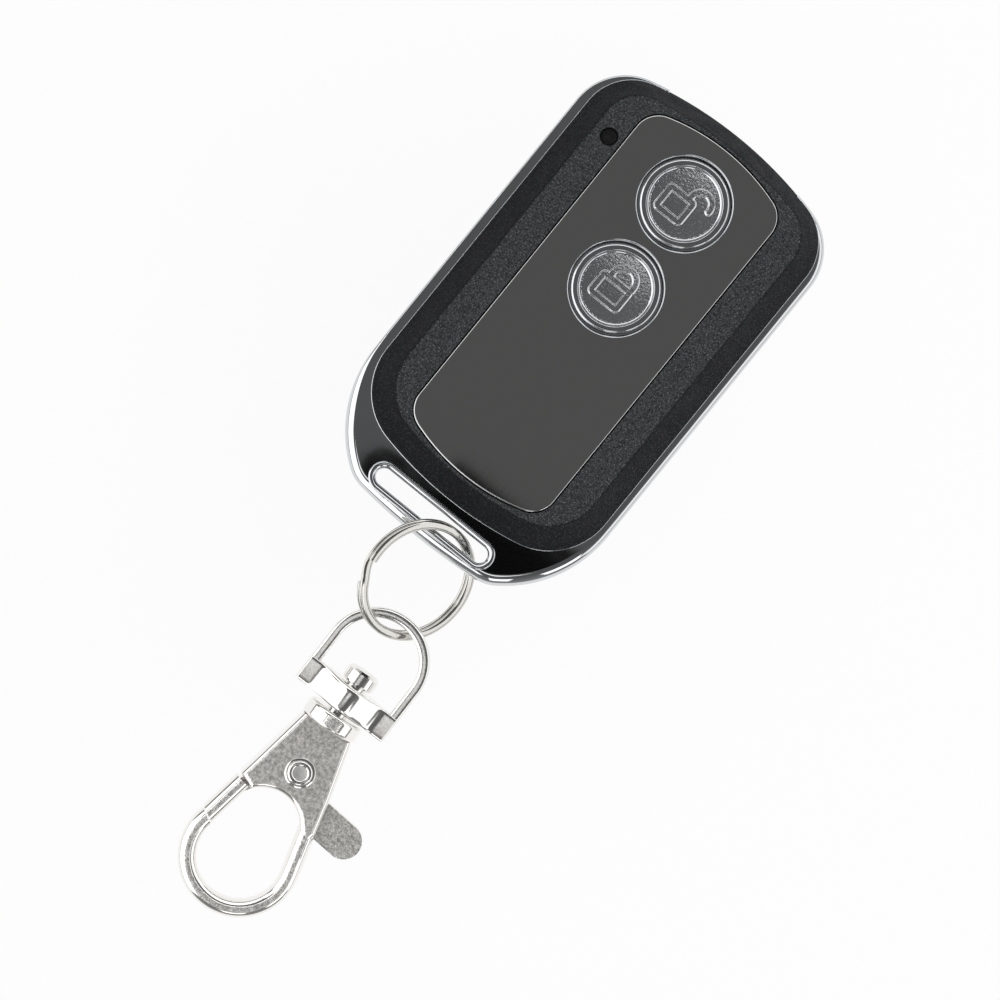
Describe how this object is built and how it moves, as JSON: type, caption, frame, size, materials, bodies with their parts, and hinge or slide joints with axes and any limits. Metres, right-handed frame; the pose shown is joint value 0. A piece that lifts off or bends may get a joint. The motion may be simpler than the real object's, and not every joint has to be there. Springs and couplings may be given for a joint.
{
  "type": "wireless remote control",
  "caption": "Key-fob wireless remote with lock and unlock buttons, chrome frame, split ring and swivel trigger hook.",
  "frame": {"origin": "centre of the fob's flat back face, on the surface that it lies on", "axes": "+Z out of the face with the buttons, +Y towards the end with the light, +X to the right seen from the face"},
  "size_m": [0.0346, 0.106, 0.0117],
  "materials": {
    "black_abs": "fine spark texture",
    "smoked_plate": "mirror gloss",
    "adhesive_film": "matte",
    "chrome_plated_abs": "bright chrome plate",
    "button_chrome": "bright chrome plate with a grained face",
    "epoxy_board": "solder mask",
    "chip_black": "moulded epoxy",
    "led_body": "clear epoxy",
    "light_guide": "smoked acrylic",
    "tinned_metal": "tinned",
    "ceramic": "fired ceramic",
    "copper": "printed copper",
    "cell_steel": "drawn steel can",
    "spring_steel": "rolled strip",
    "screw_steel": "zinc plated",
    "nickel_steel": "nickel plate",
    "nickel_zinc": "nickel plate on die-cast zinc"
  },
  "bodies": {
    "fob": {"top_cover": "black_abs", "back_cover": "black_abs", "face_plate": "smoked_plate", "plate_adhesive": "adhesive_film", "chrome_frame": "chrome_plated_abs", "circuit_board": "epoxy_board", "unlock_switch_housing": "chip_black", "lock_switch_housing": "chip_black", "status_led": "led_body", "light_guide": "light_guide", "encoder_chip": "chip_black", "saw_resonator": "tinned_metal", "rf_transistor": "chip_black", "chip_components": "ceramic", "loop_antenna": "copper", "coin_cell": "cell_steel", "battery_clip": "spring_steel", "battery_contact": "spring_steel", "case_screws": "screw_steel"},
    "unlock": {"unlock_button": "button_chrome", "unlock_switch_plunger": "chip_black"},
    "lock": {"lock_button": "button_chrome", "lock_switch_plunger": "chip_black"},
    "ring": {"split_ring": "nickel_steel"},
    "yoke": {"swivel_yoke": "nickel_zinc"},
    "hook": {"hook_body": "nickel_zinc", "swivel_pin": "nickel_zinc", "gate_rivet": "nickel_steel", "gate_spring": "spring_steel"},
    "gate": {"gate_lever": "nickel_zinc"}
  },
  "joints": [
    {"name": "unlock_press", "type": "slide", "parent": "fob", "child": "unlock", "axis": [0, 0, -1], "range_m": [0, 0.0004], "stiffness_N_per_m": 400},
    {"name": "lock_press", "type": "slide", "parent": "fob", "child": "lock", "axis": [0, 0, -1], "range_m": [0, 0.0004], "stiffness_N_per_m": 400},
    {"name": "ring_swing", "type": "hinge", "parent": "fob", "child": "ring", "pos_m": [0.00325, -0.0281, 0.0053], "axis": [1, 0, 0], "range_deg": [-30, 30]},
    {"name": "yoke_swing", "type": "hinge", "parent": "ring", "child": "yoke", "pos_m": [0.00443, -0.03961, 0.00438], "axis": [0.769, 0.2182, -0.6008], "range_deg": [-30, 30]},
    {"name": "hook_swivel", "type": "hinge", "parent": "yoke", "child": "hook", "pos_m": [0.00548, -0.0467, 0.0039], "axis": [-0.0696, 0.9949, 0.0732], "continuous": true},
    {"name": "gate_open", "type": "hinge", "parent": "hook", "child": "gate", "pos_m": [0.00663, -0.05811, 0.00302], "axis": [0.1094, -0.0654, 0.9919], "range_deg": [0, 28], "stiffness_Nm_per_rad": 0.01}
  ]
}
